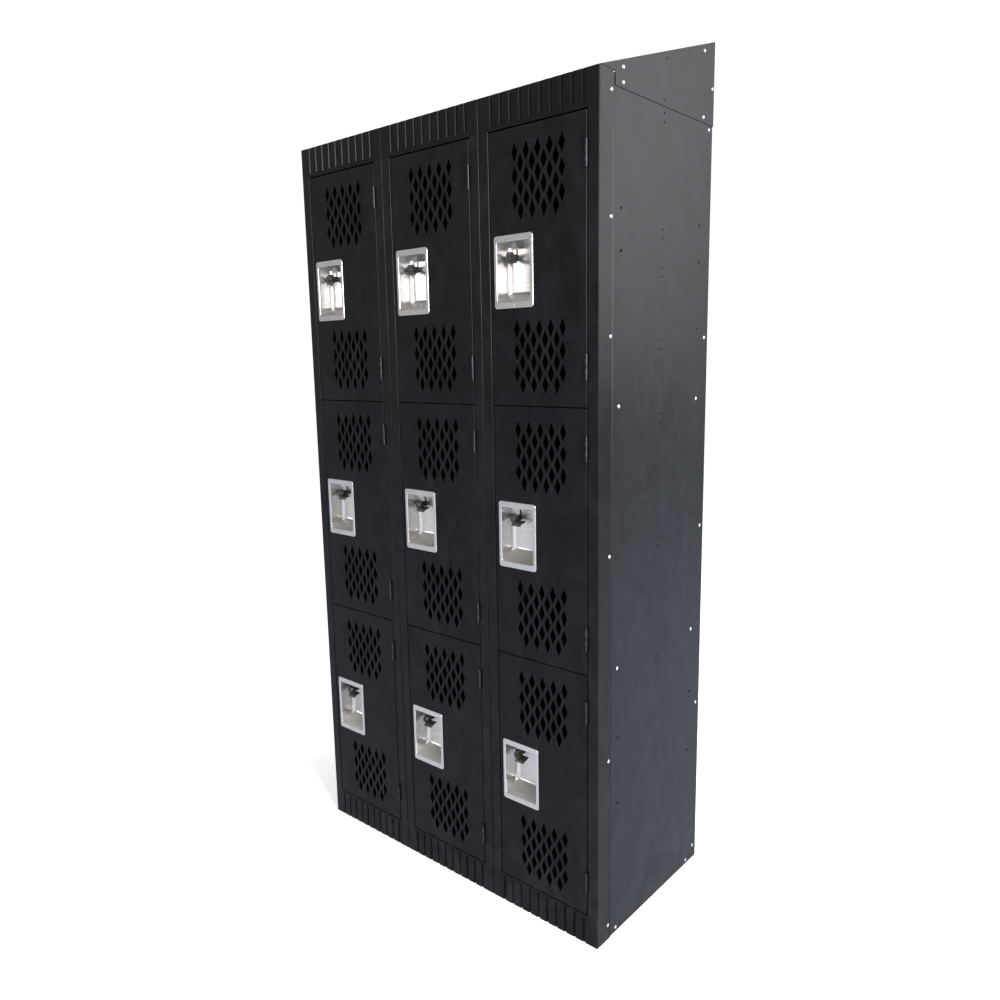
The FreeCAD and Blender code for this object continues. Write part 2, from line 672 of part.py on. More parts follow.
def hood_back():
    """Upright sheet that closes the hood at the rear."""
    low = HOOD_SEAM_Z + TOP_PAN_FLANGE + HOOD_END_GAP
    front_y = DEPTH - HOOD_BACK_FLANGE
    edge = SIDE_OUTER - TOUCH
    path = [(edge, front_y), (edge, DEPTH), (-edge, DEPTH), (-edge, front_y)]
    sheet = folded_sheet(path, SHEET, "xy", low, REAR_HEIGHT - low)
    below_top = 3.0 * SHEET
    far_y = DEPTH + CUT_SPARE
    above = [(0.0, hood_top(0.0) - below_top), (far_y, hood_top(far_y) - below_top)]
    above += [(far_y, REAR_HEIGHT + CUT_SPARE), (0.0, REAR_HEIGHT + CUT_SPARE)]
    trimmed = sheet.cut(prism(above, 0.0, "yz", -HALF_WIDTH, WIDTH))
    return trimmed.cut(rivet_holes(-1)).cut(rivet_holes(1))


# ---------------------------------------------------------------- doors
def door_edges(column, tier):
    line = column_line(column)
    low = tier_line(tier) + (SILL_GAP if tier == 0 else TIER_GAP / 2.0)
    high = tier_line(tier + 1) - (HEADER_GAP if tier == LAST_TIER else TIER_GAP / 2.0)
    return (line + DOOR_X[0], line + DOOR_X[1]), (low, high)


def vent(x, z):
    """One tall diamond hole, its side corners rounder than its tips."""
    points = [(x - VENT_HALF_WIDTH, z), (x, z - VENT_HALF_HEIGHT)]
    points += [(x + VENT_HALF_WIDTH, z), (x, z + VENT_HALF_HEIGHT)]
    radii = [VENT_SIDE_ROUND, VENT_TIP_ROUND] * 2
    return prism(points, radii, "xz", -CUT_SPARE, FRAME_SHEET + 2.0 * CUT_SPARE)


def vents(column, tier):
    """Two staggered patches of tall diamonds, above and below the cup."""
    holes = []
    first_x = column_line(column) + VENT_CENTRE_X - VENT_COLUMN_STEP * (VENT_COLUMNS - 1) / 2.0
    for side in (-1, 1):
        first_z = cup_middle(tier) + side * VENT_OFFSET_Z - VENT_ROW_STEP * (VENT_ROWS - 1) / 2.0
        for index in range(VENT_COLUMNS):
            stagger = VENT_ROW_STEP / 4.0 * (1 if index % 2 == 0 else -1)
            for row in range(VENT_ROWS):
                z = first_z + stagger + VENT_ROW_STEP * row
                holes.append(vent(first_x + VENT_COLUMN_STEP * index, z))
    return Part.makeCompound(holes)


def door_pan(column, tier):
    """Door skin with flanges all round and return lips on its two long sides."""
    (left, right), (low, high) = door_edges(column, tier)
    skin_bend = BEND + FRAME_SHEET
    path = [(right, DOOR_THICK), (right, 0.0), (left, 0.0), (left, DOOR_THICK)]
    block = prism(path, [0.0, skin_bend, skin_bend, 0.0], "xy", low, high - low)
    inner_x = (left + FRAME_SHEET, right - FRAME_SHEET)
    inner_z = (low + FRAME_SHEET, high - FRAME_SHEET)
    depth_range = (FRAME_SHEET, DOOR_THICK - FRAME_SHEET)
    hollow = box(inner_x, depth_range, inner_z)
    lip_x = (inner_x[0] + DOOR_LIP, inner_x[1] - DOOR_LIP)
    mouth = box(lip_x, (depth_range[1], DOOR_THICK + CUT_SPARE), inner_z)
    half_width = POCKET_WIDTH / 2.0 + CUP_SHEET + CUP_CLEARANCE
    half_height = POCKET_HALF_HEIGHT + CUP_SHEET + CUP_CLEARANCE
    edge = around_cup(column, tier, half_width, half_height)
    cup_hole = prism(edge, POCKET_MOUTH_CORNER, "xz", -CUT_SPARE, FRAME_SHEET + 2.0 * CUT_SPARE)
    pan_shape = block.cut(hollow).cut(mouth).cut(cup_hole).cut(vents(column, tier))
    return pan_shape.cut(cup_rivet_hole(column, tier))


def hinge_bottoms(tier):
    return tier_line(tier) + HINGE_FROM_LINE, tier_line(tier + 1) - HINGE_FROM_LINE - HINGE_HEIGHT


def knuckle(column, bottom, index):
    height = HINGE_HEIGHT / KNUCKLES
    start = bottom + height * index + KNUCKLE_GAP / 2.0
    spot = (column_line(column) + HINGE_X, -AXIS_FORWARD, start)
    return rod(spot, (0, 0, 1), KNUCKLE_RADIUS, height - KNUCKLE_GAP), (start, start + height - KNUCKLE_GAP)


def pin_bore(column, bottom):
    spot = (column_line(column) + HINGE_X, -AXIS_FORWARD, bottom - CUT_SPARE)
    return rod(spot, (0, 0, 1), PIN_BORE, HINGE_HEIGHT + 2.0 * CUT_SPARE)


def hinge_leaf(column, bottom, on_door):
    """Leaf in the gap beside the door, with every other knuckle of the hinge."""
    leaf_left = column_line(column) + DOOR_X[1]
    if not on_door:
        leaf_left += HINGE_GAP - LEAF_THICK
    leaf_x = (leaf_left, leaf_left + LEAF_THICK)
    z_range = (bottom, bottom + HINGE_HEIGHT)
    shapes = [box(leaf_x, (AXIS_FORWARD - KNUCKLE_RADIUS, LEAF_DEPTH), z_range)]
    for index in range(1 if on_door else 0, KNUCKLES, 2):
        barrel, barrel_z = knuckle(column, bottom, index)
        shapes.append(barrel)
        shapes.append(box(leaf_x, (-AXIS_FORWARD + PIN_BORE + LEAF_ROOT, AXIS_FORWARD), barrel_z))
    return fuse(shapes).cut(pin_bore(column, bottom))


def bar_guide(column, middle):
    """Strap on the back of the door skin that the lock bar slides through."""
    line = column_line(column)
    inner_x = (line + LOCK_BAR_X[0] - GUIDE_CLEARANCE, line + LOCK_BAR_X[1] + GUIDE_CLEARANCE)
    outer_x = (inner_x[0] - GUIDE_SHEET, inner_x[1] + GUIDE_SHEET)
    inner_y = (FRAME_SHEET, LOCK_BAR_Y[1] + GUIDE_CLEARANCE)
    z_range = (middle - GUIDE_HALF_HEIGHT, middle + GUIDE_HALF_HEIGHT)
    strap = box(outer_x, (FRAME_SHEET, inner_y[1] + GUIDE_SHEET), z_range)
    return strap.cut(box(inner_x, inner_y, z_range))


def door(column, tier):
    parts = [door_pan(column, tier)]
    parts += [hinge_leaf(column, bottom, True) for bottom in hinge_bottoms(tier)]
    middle = cup_middle(tier)
    parts += [bar_guide(column, middle + side * GUIDE_OFFSET_Z) for side in (-1, 1)]
    return parts


def frame_hinge_leaves():
    leaves = []
    for column in range(len(COLUMN_NAMES)):
        for tier in range(len(TIER_NAMES)):
            leaves += [hinge_leaf(column, bottom, False) for bottom in hinge_bottoms(tier)]
    return leaves


def hinge_pins():
    pins = []
    for column in range(len(COLUMN_NAMES)):
        x = column_line(column) + HINGE_X
        for tier in range(len(TIER_NAMES)):
            for bottom in hinge_bottoms(tier):
                pins.append(rod((x, -AXIS_FORWARD, bottom), (0, 0, 1), PIN_RADIUS, HINGE_HEIGHT))
    return pins


# ---------------------------------------------------------------- cup and latch
def around_cup(column, tier, half_width, half_height):
    """Corners of a rectangle about the middle of a cup."""
    x = column_line(column) + CUP_CENTRE_X
    z = cup_middle(tier)
    return rectangle((x - half_width, x + half_width), (z - half_height, z + half_height))


def pocket_block(column, tier, grow):
    """The pocket's space, or with grow the outside of its sheet."""
    middle = cup_middle(tier)
    x = column_line(column) + CUP_CENTRE_X
    front_low = middle - POCKET_HALF_HEIGHT - grow
    front_high = middle + POCKET_HALF_HEIGHT + grow
    depth = POCKET_DEPTH + grow
    low_back = front_low + POCKET_FLOOR_RISE
    high_back = front_high - POCKET_ROOF_FALL
    side_view = [(-CUP_FLANGE, front_low), (0.0, front_low), (depth, low_back), (depth, high_back)]
    side_view += [(0.0, front_high), (-CUP_FLANGE, front_high)]
    half_width = POCKET_WIDTH / 2.0 + grow
    side_radii = [0.0, 0.0, POCKET_FLOOR_CORNER, POCKET_ROOF_CORNER, 0.0, 0.0]
    slab = prism(side_view, side_radii, "yz", x - half_width, 2.0 * half_width)
    plan = [(x - half_width, -CUP_FLANGE), (x + half_width, -CUP_FLANGE), (x + half_width, depth)]
    plan.append((x - half_width, depth))
    corner = POCKET_BACK_CORNER + grow
    trough = prism(plan, [0.0, 0.0, corner, corner], "xy", front_low, front_high - front_low)
    mouth = around_cup(column, tier, half_width, POCKET_HALF_HEIGHT + grow)
    tunnel = prism(mouth, POCKET_MOUTH_CORNER + grow, "xz", -CUP_FLANGE, depth + CUP_FLANGE)
    return slab.common(trough).common(tunnel)


def handle_cup(column, tier):
    """Pressed cup with its rivet: flat flange on the door's face, sloped pocket behind it."""
    edge = around_cup(column, tier, CUP_WIDTH / 2.0, CUP_HEIGHT / 2.0)
    flange = prism(edge, CUP_CORNER, "xz", -CUP_FLANGE, CUP_FLANGE)
    shell = pocket_block(column, tier, CUP_SHEET).fuse(flange).cut(pocket_block(column, tier, 0.0))
    shell = shell.removeSplitter()
    front_edges = [edge for edge in shell.Edges if abs(edge.BoundBox.YMax + CUP_FLANGE) < TOUCH]
    line = column_line(column)
    neck = cup_middle(tier) + SHACKLE_Z
    slot_x = (line + EAR_X - SLOT_CLEARANCE, line + EAR_X + EYE_THICK + SLOT_CLEARANCE)
    slot_y = (POCKET_DEPTH - CUP_SHEET, POCKET_DEPTH + CUP_SHEET + CUT_SPARE)
    slot_low = neck - NECK_HALF_HEIGHT - SLOT_CLEARANCE
    slot_high = neck + NECK_HALF_HEIGHT + LATCH_TRAVEL + SLOT_CLEARANCE
    slot = box(slot_x, slot_y, (slot_low, slot_high))
    cup = shell.makeFillet(CUP_EDGE, front_edges).cut(slot).cut(cup_rivet_hole(column, tier))
    return [cup, cup_rivet(column, tier)]


def cup_rivet_spot(column, tier):
    return column_line(column) + CUP_CENTRE_X, cup_middle(tier) - CUP_RIVET_DROP


def cup_rivet_hole(column, tier):
    """Hole through the cup's flange and the door for the cup's rivet."""
    x, z = cup_rivet_spot(column, tier)
    length = CUP_FLANGE + FRAME_SHEET + 2.0 * CUT_SPARE
    return rod((x, -CUP_FLANGE - CUT_SPARE, z), (0, 1, 0), CUP_RIVET_RADIUS + TOUCH, length)


def cup_rivet(column, tier):
    """Round-headed rivet that holds the cup to the door."""
    x, z = cup_rivet_spot(column, tier)
    head = (CUP_RIVET_HEAD_RADIUS, CUP_RIVET_HEAD_HEIGHT)
    return domed_rivet((x, -CUP_FLANGE, z), (0, -1, 0), *head, CUP_RIVET_RADIUS, CUP_RIVET_LENGTH)


def shackle_hole(x, z):
    start = (x - CUT_SPARE, SHACKLE_Y, z)
    return rod(start, (1, 0, 0), SHACKLE_HOLE_RADIUS, EYE_THICK + 2.0 * CUT_SPARE)


def padlock_eye(x, z, back_y):
    """Ring for a padlock's shackle, with a neck that runs back from it."""
    disc = rod((x, SHACKLE_Y, z), (1, 0, 0), EYE_RADIUS, EYE_THICK)
    neck = box((x, x + EYE_THICK), (SHACKLE_Y, back_y), (z - NECK_HALF_HEIGHT, z + NECK_HALF_HEIGHT))
    return disc.fuse(neck).cut(shackle_hole(x, z))


def padlock_staple(column, tier):
    return padlock_eye(column_line(column) + STAPLE_X, cup_middle(tier) + SHACKLE_Z, POCKET_DEPTH)


def finger_lift(column, z):
    """Curved lip that the fingertips push up, beside the padlock ear."""
    section = [(y, z + rise) for y, rise in FINGER_SECTION]
    start = column_line(column) + EAR_X
    return prism(section, FINGER_RADII, "yz", start, FINGER_END_X - EAR_X)


def lock_bar(column, middle):
    """Channel that slides up and down behind the door skin, with two tongues on its back."""
    line = column_line(column)
    low = middle - LOCK_BAR_HALF_LENGTH
    high = middle + LOCK_BAR_HALF_LENGTH
    left, right = LOCK_BAR_X
    front, back = LOCK_BAR_Y
    bar = box((line + left, line + right), (front, back), (low, high))
    inside_x = (line + left + SHEET, line + right - SHEET)
    channel = box(inside_x, (front - CUT_SPARE, back - SHEET), (low, high))
    tongue_x = (line + TONGUE_X[0], line + TONGUE_X[1])
    shapes = [bar.cut(channel)]
    for side in (-1, 1):
        z = middle + side * TONGUE_OFFSET_Z
        tongue_z = (z - TONGUE_HALF_HEIGHT, z + TONGUE_HALF_HEIGHT)
        shapes.append(box(tongue_x, (back - SHEET, TONGUE_END_Y), tongue_z))
    return shapes


def latch_lift(column, tier):
    """Finger lift with its padlock ear, joined behind the cup to the lock bar."""
    line = column_line(column)
    middle = cup_middle(tier)
    z = middle + SHACKLE_Z
    ear_x = line + EAR_X
    arm_x = line + LATCH_ARM_X
    plate_z = (z - LATCH_PLATE_HALF_HEIGHT, z + LATCH_PLATE_HALF_HEIGHT)
    plate = box((arm_x, ear_x + EYE_THICK), LATCH_PLATE_Y, plate_z)
    arm = box((arm_x, arm_x + LATCH_ARM_THICK), (LATCH_ARM_FRONT_Y, LATCH_PLATE_Y[1]), plate_z)
    parts = [padlock_eye(ear_x, z, LATCH_PLATE_Y[1]), finger_lift(column, z), plate, arm]
    return fuse(parts + lock_bar(column, middle)).cut(shackle_hole(ear_x, z))


def latch_strike(column, z):
    """Small bracket with a notch, behind the latch-side lip."""
    line = column_line(column)
    left, right = STRIKE_X
    front = STOP_Y + FRAME_SHEET
    block_z = (z - STRIKE_HALF_HEIGHT, z + STRIKE_HALF_HEIGHT)
    block = box((line + left, line + right), (front, front + STRIKE_DEPTH), block_z)
    notch_x = (line + left + STRIKE_WALL, line + right + CUT_SPARE)
    notch_y = (front + STRIKE_WALL, front + STRIKE_DEPTH - STRIKE_WALL)
    notch_z = (block_z[0] + STRIKE_END, block_z[1] - STRIKE_END)
    return block.cut(box(notch_x, notch_y, notch_z))


def silencer(column, z):
    """Rubber button on the lip that the door shuts against."""
    x = column_line(column) + UPRIGHT_FACE + STOP_WIDTH / 2.0
    height = STOP_Y - DOOR_THICK - SILENCER_CLEARANCE
    return rod((x, STOP_Y - height, z), (0, 1, 0), SILENCER_RADIUS, height)


def beside_each_latch(maker, offset_z):
    """One piece above and one below the middle of every cup."""
    pieces = []
    for column in range(len(COLUMN_NAMES)):
        for tier in range(len(TIER_NAMES)):
            for side in (-1, 1):
                pieces.append(maker(column, cup_middle(tier) + side * offset_z))
    return pieces


def coat_hook(column, tier):
    """Single hook under the middle of a compartment's ceiling."""
    ceiling = TOP_PAN_Z - SHEET
    if tier < LAST_TIER:
        ceiling = tier_line(tier + 1) + SHELF_FLANGE / 2.0 - SHEET
    low = ceiling - HOOK_DROP
    foot = ceiling - HOOK_THICK
    tip_y = HOOK_Y - HOOK_REACH
    path = [(tip_y, low + HOOK_TIP), (tip_y, low), (HOOK_Y, low)]
    path += [(HOOK_Y, foot), (HOOK_Y + HOOK_FOOT, foot)]
    x = column_line(column) + COLUMN_PITCH / 2.0
    return folded_sheet(path, HOOK_THICK, "yz", x - HOOK_WIDTH / 2.0, HOOK_WIDTH, HOOK_BEND)


def coat_hooks():
    columns = range(len(COLUMN_NAMES))
    return [coat_hook(column, tier) for column in columns for tier in range(len(TIER_NAMES))]


# ---------------------------------------------------------------- export
def export(node, shapes):
    """Write one node, moved so that the origin is on the floor below the bank's middle."""
    if not isinstance(shapes, list):
        shapes = [shapes]
    solids = [solid for shape in shapes for solid in shape.Solids]
    for solid in solids:
        if not solid.isValid():
            print("not valid:", node)
    whole = solids[0] if len(solids) == 1 else Part.makeCompound(solids)
    whole.translate(Vector(0, FACE_Y, 0))
    whole.exportStep("parts/%s.step" % node)
    print("%-28s %3d solids %10.0f mm3" % (node, len(solids), whole.Volume))


os.makedirs("parts", exist_ok=True)

export("side_panel_left", side_panel(-1))
export("side_panel_right", side_panel(1))
export("partition_left", partition(1))
export("partition_right", partition(2))
export("back_panels", back_panels())
export("floor_pans", floor_pans())
export("lower_shelves", shelves(1))
export("upper_shelves", shelves(2))
export("top_pans", top_pans())
export("front_uprights", front_uprights())
export("cross_rails", cross_rails())
export("headers", [header(column) for column in range(len(COLUMN_NAMES))])
export("base_fronts", [base_front(column) for column in range(len(COLUMN_NAMES))])
export("hood_sheet", hood_sheet())
export("hood_end_left", hood_end(-1))
export("hood_end_right", hood_end(1))
export("hood_back", hood_back())
export("side_rivets", side_rivets())
export("frame_hinge_leaves", frame_hinge_leaves())
export("hinge_pins", hinge_pins())
export("latch_strikes", beside_each_latch(latch_strike, TONGUE_OFFSET_Z))
export("door_silencers", beside_each_latch(silencer, SILENCER_OFFSET_Z))
export("coat_hooks", coat_hooks())

for column, column_name in enumerate(COLUMN_NAMES):
    for tier, tier_name in enumerate(TIER_NAMES):
        place = "%s_%s" % (tier_name, column_name)
        export("door_" + place, door(column, tier))
        export("handle_cup_" + place, handle_cup(column, tier))
        export("padlock_staple_" + place, padlock_staple(column, tier))
        export("latch_lift_" + place, latch_lift(column, tier))

print("whole bank: %.1f wide, %.1f deep, %.1f high" % (WIDTH, DEPTH, REAR_HEIGHT))
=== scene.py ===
import json
import math

import bpy
from mathutils import Matrix, Vector


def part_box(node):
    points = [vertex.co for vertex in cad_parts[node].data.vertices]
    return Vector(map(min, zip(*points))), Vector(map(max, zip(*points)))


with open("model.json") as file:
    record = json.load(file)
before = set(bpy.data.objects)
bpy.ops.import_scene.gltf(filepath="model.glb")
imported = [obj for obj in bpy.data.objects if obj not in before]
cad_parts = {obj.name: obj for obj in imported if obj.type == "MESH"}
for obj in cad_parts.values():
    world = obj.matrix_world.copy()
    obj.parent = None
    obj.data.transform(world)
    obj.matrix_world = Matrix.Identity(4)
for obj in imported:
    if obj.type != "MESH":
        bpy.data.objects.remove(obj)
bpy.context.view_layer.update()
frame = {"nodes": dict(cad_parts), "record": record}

# Lengths are metres and angles are degrees. The doors' faces lie in the same plane as the base fronts.
FACE_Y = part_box("base_fronts")[0].y


# ---------------------------------------------------------------- camera
CAMERA_PLACE = Vector((1.37258, FACE_Y - 1.359218, 1.298444))
CAMERA_YAW = 40.896
CAMERA_PITCH = 9.832
CAMERA_ROLL = -1.048
CAMERA_LENS_MM = 29.584
CAMERA_SENSOR_MM = 36.0
CAMERA_NEAREST = 0.05


def make_camera():
    """Camera at the front right of the bank, turned left by the yaw and looking down by the pitch."""
    yaw, pitch, roll = (math.radians(angle) for angle in (CAMERA_YAW, CAMERA_PITCH, CAMERA_ROLL))
    ahead = Vector((-math.sin(yaw) * math.cos(pitch), math.cos(yaw) * math.cos(pitch), -math.sin(pitch)))
    level = Vector((math.cos(yaw), math.sin(yaw), 0.0))
    upward = level.cross(ahead)
    right = level * math.cos(roll) + upward * math.sin(roll)
    top = upward * math.cos(roll) - level * math.sin(roll)
    turn = Matrix((right, top, -ahead)).transposed()
    data = bpy.data.cameras.new("camera")
    data.lens = CAMERA_LENS_MM
    data.sensor_width = CAMERA_SENSOR_MM
    data.clip_start = CAMERA_NEAREST
    camera = bpy.data.objects.new("camera", data)
    camera.location = CAMERA_PLACE
    camera.rotation_euler = turn.to_euler()
    bpy.context.scene.collection.objects.link(camera)
    bpy.context.scene.camera = camera


make_camera()


# ---------------------------------------------------------------- material helpers
def with_alpha(colour):
    """A colour socket as it is, or three plain numbers with full opacity added."""
    if isinstance(colour, bpy.types.NodeSocket):
        return colour
    return (*colour, 1.0)


def times(colour, factor):
    """A plain colour made paler or darker by one factor."""
    return tuple(channel * factor for channel in colour)


class Shader:
    """A node material with the Principled BSDF at its end, patterned in the object's own space."""

    def __init__(self, name):
        self.material = bpy.data.materials.new(name)
        self.material.use_nodes = True
        self.nodes = self.material.node_tree.nodes
        self.links = self.material.node_tree.links
        self.surface = self.nodes["Principled BSDF"]
        self.place = self.nodes.new("ShaderNodeTexCoord").outputs["Object"]

    def put(self, value, target):
        """Link a socket to the target, or set the target to a plain value."""
        if isinstance(value, bpy.types.NodeSocket):
            self.links.new(value, target)
        else:
            target.default_value = value

    def stretched(self, scale):
        """The place in space, multiplied along each axis."""
        node = self.nodes.new("ShaderNodeMapping")
        node.inputs["Scale"].default_value = scale
        self.put(self.place, node.inputs["Vector"])
        return node.outputs["Vector"]

    def noise(self, vector, scale, detail, roughness, distortion=0.0):
        """Cloudy pattern between 0 and 1. A larger scale makes it finer."""
        node = self.nodes.new("ShaderNodeTexNoise")
        node.inputs["Scale"].default_value = scale
        node.inputs["Detail"].default_value = detail
        node.inputs["Roughness"].default_value = roughness
        node.inputs["Distortion"].default_value = distortion
        self.put(vector, node.inputs["Vector"])
        return node.outputs["Fac"]

    def ramp(self, value, between, gives=(0.0, 1.0)):
        """The stretch `between` two values spread over what it `gives`, and level past both ends."""
        node = self.nodes.new("ShaderNodeMapRange")
        node.inputs["From Min"].default_value, node.inputs["From Max"].default_value = between
        node.inputs["To Min"].default_value, node.inputs["To Max"].default_value = gives
        node.clamp = True
        self.put(value, node.inputs["Value"])
        return node.outputs["Result"]

    def maths(self, operation, first, second):
        node = self.nodes.new("ShaderNodeMath")
        node.operation = operation
        self.put(first, node.inputs[0])
        self.put(second, node.inputs[1])
        return node.outputs[0]

    def mix(self, factor, first, second):
        """A colour that goes from the first to the second as the factor goes from 0 to 1."""
        node = self.nodes.new("ShaderNodeMix")
        node.data_type = "RGBA"
        self.put(factor, node.inputs["Factor"])
        self.put(with_alpha(first), node.inputs["A"])
        self.put(with_alpha(second), node.inputs["B"])
        return node.outputs["Result"]

    def along(self, axis):
        """How far along one axis of space the surface is."""
        node = self.nodes.new("ShaderNodeSeparateXYZ")
        self.put(self.place, node.inputs[0])
        return node.outputs[axis]

    def bump(self, height, distance, over=None):
        """Normals of a bump as high as `distance`, laid over other normals if there are any."""
        node = self.nodes.new("ShaderNodeBump")
        node.inputs["Strength"].default_value = 1.0
        node.inputs["Distance"].default_value = distance
        self.put(height, node.inputs["Height"])
        if over is not None:
            self.put(over, node.inputs["Normal"])
        return node.outputs["Normal"]

    def folded_edge_mask(self):
        """1 along sharply folded edges and corners, and 0 on flats."""
        geometry = self.nodes.new("ShaderNodeNewGeometry")
        return self.ramp(geometry.outputs["Pointiness"], between=(0.52, 0.62))

    def complete(self, colour, roughness, normal=None, metallic=0.0, specular=None):
        """Put the finished values on the surface and return the material."""
        self.put(with_alpha(colour), self.surface.inputs["Base Color"])
        self.put(roughness, self.surface.inputs["Roughness"])
        self.put(metallic, self.surface.inputs["Metallic"])
        if normal is not None:
            self.put(normal, self.surface.inputs["Normal"])
        if specular is not None:
            self.surface.inputs["Specular IOR Level"].default_value = specular
        return self.material


# ---------------------------------------------------------------- paint
DOOR_COAT = ((0.0021, 0.0022, 0.0027), (0.0028, 0.0029, 0.0036))
# The cabinet coat is the same paint as the door coat, with paler tones as painted light for the
# brighter-lit side sheets.
CABINET_COAT_PAINTED_PALER = ((0.0028, 0.0031, 0.0038), (0.0034, 0.0038, 0.0047))
WORN_STEEL = ((0.026, 0.028, 0.032), (0.042, 0.044, 0.049))
DUST = (0.10, 0.095, 0.09)
DUST_REACH = 0.22
SPECK_PALENESS = 3.0
# How much paler the folded edges are painted: rubbed wear together with a painted highlight along the
# edges.
EDGE_WEAR_AND_HIGHLIGHT_PALENESS = 3.5
PEEL_HEIGHT = 0.00006
WAVE_HEIGHT = 0.0009
KNUCKLE_CLEARANCE = 0.0002
KNUCKLE_METALLIC = 0.7


def powder_coat(name, tones, roughness, specular, steel_ahead_of=None):
    """Satin powder coat: cloudy tone, pale specks, dust near the floor, folded edges made paler as
    rubbed wear and as a painted highlight, orange peel and the slow waves of thin sheet.

    What stands ahead of the given y, the hinge knuckles of a door, is worn down to dull steel.
    """
    shader = Shader(name)
    light = tones[1]
    clouds = shader.noise(shader.place, scale=3.2, detail=4.0, roughness=0.55, distortion=0.4)
    film = shader.noise(shader.place, scale=900.0, detail=3.0, roughness=0.6)
    streaky = shader.stretched((9.0, 9.0, 5.0))
    smears = shader.noise(streaky, scale=2.0, detail=5.0, roughness=0.6, distortion=1.2)

    paint = shader.mix(shader.ramp(clouds, between=(0.35, 0.68)), *tones)
    speck = shader.ramp(film, between=(0.62, 0.80), gives=(0.0, 0.22))
    paint = shader.mix(speck, paint, times(light, SPECK_PALENESS))
    near_floor = shader.ramp(shader.along("Z"), between=(0.0, DUST_REACH), gives=(1.0, 0.0))
    patchy = shader.ramp(smears, between=(0.45, 0.75), gives=(0.0, 0.12))
    paint = shader.mix(shader.maths("MULTIPLY", near_floor, patchy), paint, DUST)
    uneven = shader.ramp(smears, between=(0.4, 0.7), gives=(0.15, 0.6))
    # Folded edges made paler: partly rubbed wear, partly a painted highlight where the rounded edges
    # catch the light.
    pale_edges = shader.maths("MULTIPLY", shader.folded_edge_mask(), uneven)
    paint = shader.mix(pale_edges, paint, times(light, EDGE_WEAR_AND_HIGHLIGHT_PALENESS))

    metallic = 0.0
    if steel_ahead_of is not None:
        bare = shader.maths("LESS_THAN", shader.along("Y"), steel_ahead_of)
        steel = shader.mix(shader.ramp(smears, between=(0.35, 0.7)), *WORN_STEEL)
        paint = shader.mix(bare, paint, steel)
        metallic = shader.maths("MULTIPLY", bare, KNUCKLE_METALLIC)

    gloss = shader.ramp(smears, between=(0.3, 0.75), gives=(roughness - 0.005, roughness + 0.012))
    waves = shader.noise(shader.place, scale=5.5, detail=2.0, roughness=0.4)
    peel = shader.noise(shader.place, scale=420.0, detail=2.0, roughness=0.5)
    normal = shader.bump(peel, PEEL_HEIGHT, over=shader.bump(waves, WAVE_HEIGHT))
    return shader.complete(paint, gloss, normal, metallic, specular)


HARDWARE_BLACK = ((0.004, 0.004, 0.0045), (0.010, 0.010, 0.011))
HARDWARE_RUBBED = (0.06, 0.06, 0.06)
HARDWARE_GRAIN_HEIGHT = 0.00004


def black_hardware(name):
    """Satin black coat that is worn grey along the edges."""
    shader = Shader(name)
    grain = shader.noise(shader.place, scale=700.0, detail=3.0, roughness=0.6)
    worn = shader.noise(shader.place, scale=60.0, detail=4.0, roughness=0.6)
    paint = shader.mix(shader.ramp(worn, between=(0.45, 0.75)), *HARDWARE_BLACK)
    uneven = shader.ramp(worn, between=(0.35, 0.7), gives=(0.2, 0.8))
    pale_edges = shader.maths("MULTIPLY", shader.folded_edge_mask(), uneven)
    paint = shader.mix(pale_edges, paint, HARDWARE_RUBBED)
    gloss = shader.ramp(worn, between=(0.3, 0.7), gives=(0.36, 0.48))
    return shader.complete(paint, gloss, shader.bump(grain, HARDWARE_GRAIN_HEIGHT), specular=0.2)


# ---------------------------------------------------------------- bare metal
CUP_STEEL = ((0.55, 0.53, 0.515), (0.72, 0.70, 0.685))
CUP_ROUGHNESS = 0.31
CUP_STAIN_DARKNESS = 0.72
CUP_ANISOTROPY = 0.45
BRUSHED_ALONG_X = (18.0, 900.0, 900.0)
BRUSH_DEPTH = 0.00008
BRIGHT_RIVET = ((0.72, 0.72, 0.73), (0.90, 0.90, 0.91))
ZINC = ((0.45, 0.46, 0.48), (0.66, 0.67, 0.68))
PLATING_GRAIN_HEIGHT = 0.00003


def metal_gloss(shader, pattern, roughness):
    """Roughness that goes a little below and above its usual value with a pattern."""
    return shader.ramp(pattern, between=(0.3, 0.7), gives=(roughness - 0.06, roughness + 0.08))


def brushed_steel(name):
    """Stainless sheet with fine brushing across the door and faint darker patches."""
    shader = Shader(name)
    lines = shader.noise(shader.stretched(BRUSHED_ALONG_X), scale=1.6, detail=4.0, roughness=0.65)
    broad = shader.noise(shader.place, scale=14.0, detail=3.0, roughness=0.5, distortion=0.3)
    tone = shader.mix(shader.ramp(lines, between=(0.3, 0.72)), *CUP_STEEL)
    stain = shader.ramp(broad, between=(0.35, 0.8), gives=(0.0, 0.25))
    tone = shader.mix(stain, tone, times(CUP_STEEL[0], CUP_STAIN_DARKNESS))
    shader.surface.inputs["Anisotropic"].default_value = CUP_ANISOTROPY
    gloss = metal_gloss(shader, lines, CUP_ROUGHNESS)
    return shader.complete(tone, gloss, shader.bump(lines, BRUSH_DEPTH), metallic=1.0)


def plated(name, tones, roughness):
    """Plated or worn steel with a blotchy tone and a very fine grain."""
    shader = Shader(name)
    spangle = shader.noise(shader.place, scale=240.0, detail=3.0, roughness=0.55, distortion=0.5)
    fine = shader.noise(shader.place, scale=1400.0, detail=2.0, roughness=0.5)
    tone = shader.mix(shader.ramp(spangle, between=(0.35, 0.7)), *tones)
    gloss = metal_gloss(shader, spangle, roughness)
    return shader.complete(tone, gloss, shader.bump(fine, PLATING_GRAIN_HEIGHT), metallic=1.0)


# ---------------------------------------------------------------- rubber
RUBBER_BLACK = ((0.010, 0.010, 0.010), (0.024, 0.024, 0.023))
RUBBER_GRAIN_HEIGHT = 0.00008


